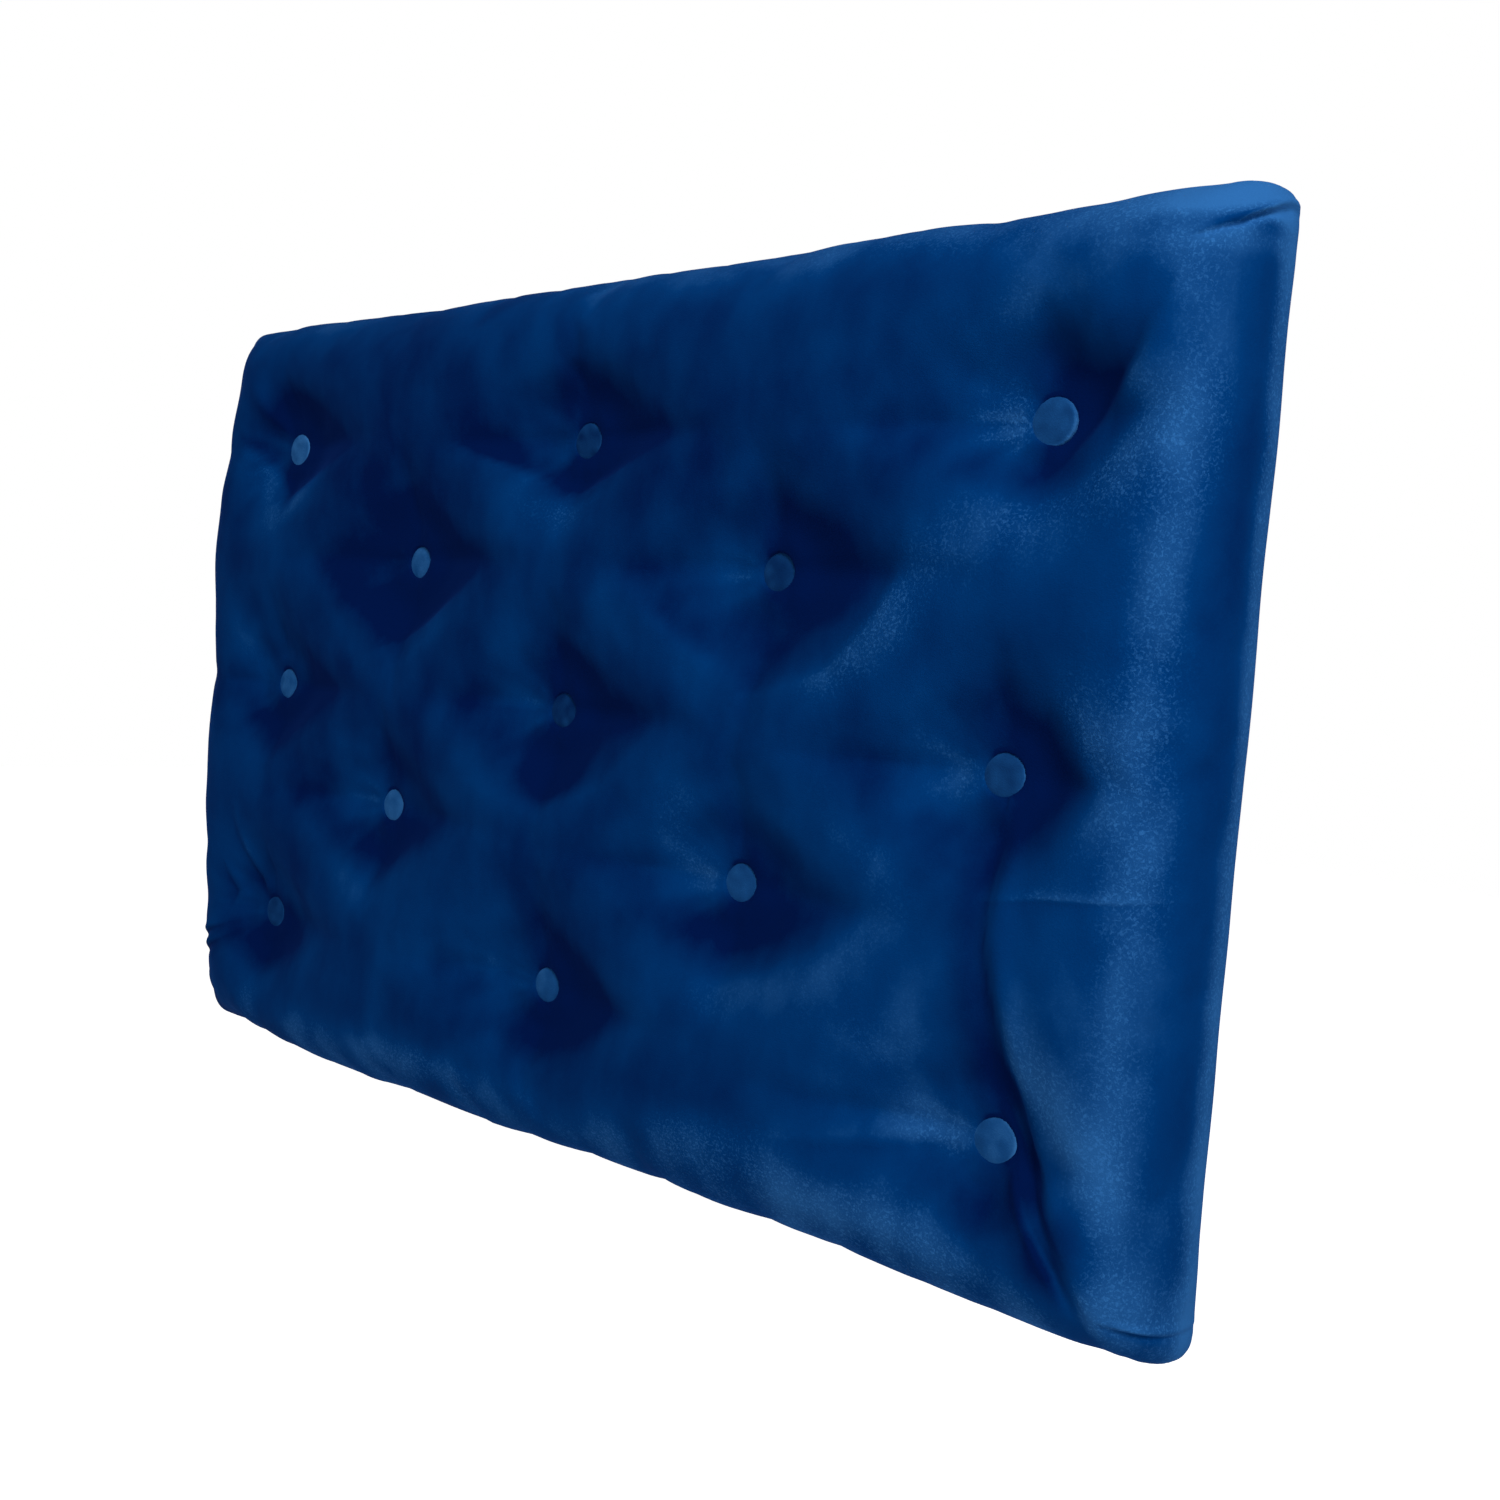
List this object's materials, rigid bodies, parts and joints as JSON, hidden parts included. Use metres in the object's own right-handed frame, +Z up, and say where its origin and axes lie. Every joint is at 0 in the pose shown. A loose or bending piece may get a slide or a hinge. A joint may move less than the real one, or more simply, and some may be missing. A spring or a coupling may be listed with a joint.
{
  "type": "headboard",
  "caption": "Wall-hung headboard: thick rolled-edge foam panel in blue velvet, drawn in by covered buttons, on a pine frame with keyhole hangers.",
  "frame": {"origin": "on the wall plane, midway between the entry holes of the two keyhole hangers", "axes": "+Z up, +X to the right as seen from the front, -Y out of the wall towards the bed"},
  "size_m": [0.9, 0.074, 0.6],
  "materials": {
    "velvet": "short-pile polyester velvet, royal blue",
    "wadding": "needled polyester wadding",
    "foam": "cut polyurethane foam",
    "plywood": "sanded birch plywood",
    "pine": "planed pine, unfinished",
    "zinc_steel": "bright zinc-plated steel",
    "twine": "waxed nylon tufting twine",
    "anchor_plastic": "moulded polypropylene",
    "dust_cloth": "spunbonded non-woven, black",
    "felt": "pressed felt, self-adhesive"
  },
  "bodies": {
    "root": {"backing_panel": "plywood", "bottom_rail": "pine", "button_a1": "velvet", "button_a3": "velvet", "button_a5": "velvet", "button_b2": "velvet", "button_b4": "velvet", "button_backs": "zinc_steel", "button_c1": "velvet", "button_c3": "velvet", "button_c5": "velvet", "button_d2": "velvet", "button_d4": "velvet", "button_e1": "velvet", "button_e3": "velvet", "button_e5": "velvet", "button_eyes": "zinc_steel", "button_shells": "zinc_steel", "corner_block_bottom_left": "pine", "corner_block_bottom_right": "pine", "corner_block_top_left": "pine", "corner_block_top_right": "pine", "cover_staples": "zinc_steel", "dust_cover": "dust_cloth", "dust_cover_staples": "zinc_steel", "foam_pad": "foam", "frame_dowels": "pine", "hanger_screws": "zinc_steel", "left_hanger_plate": "zinc_steel", "left_stile": "pine", "left_upright": "pine", "left_wall_pad": "felt", "panel_nails": "zinc_steel", "right_hanger_plate": "zinc_steel", "right_stile": "pine", "right_upright": "pine", "right_wall_pad": "felt", "top_rail": "pine", "tufting_twines": "twine", "twine_anchors": "anchor_plastic", "velvet_cover": "velvet", "wadding": "wadding"}
  },
  "joints": []
}
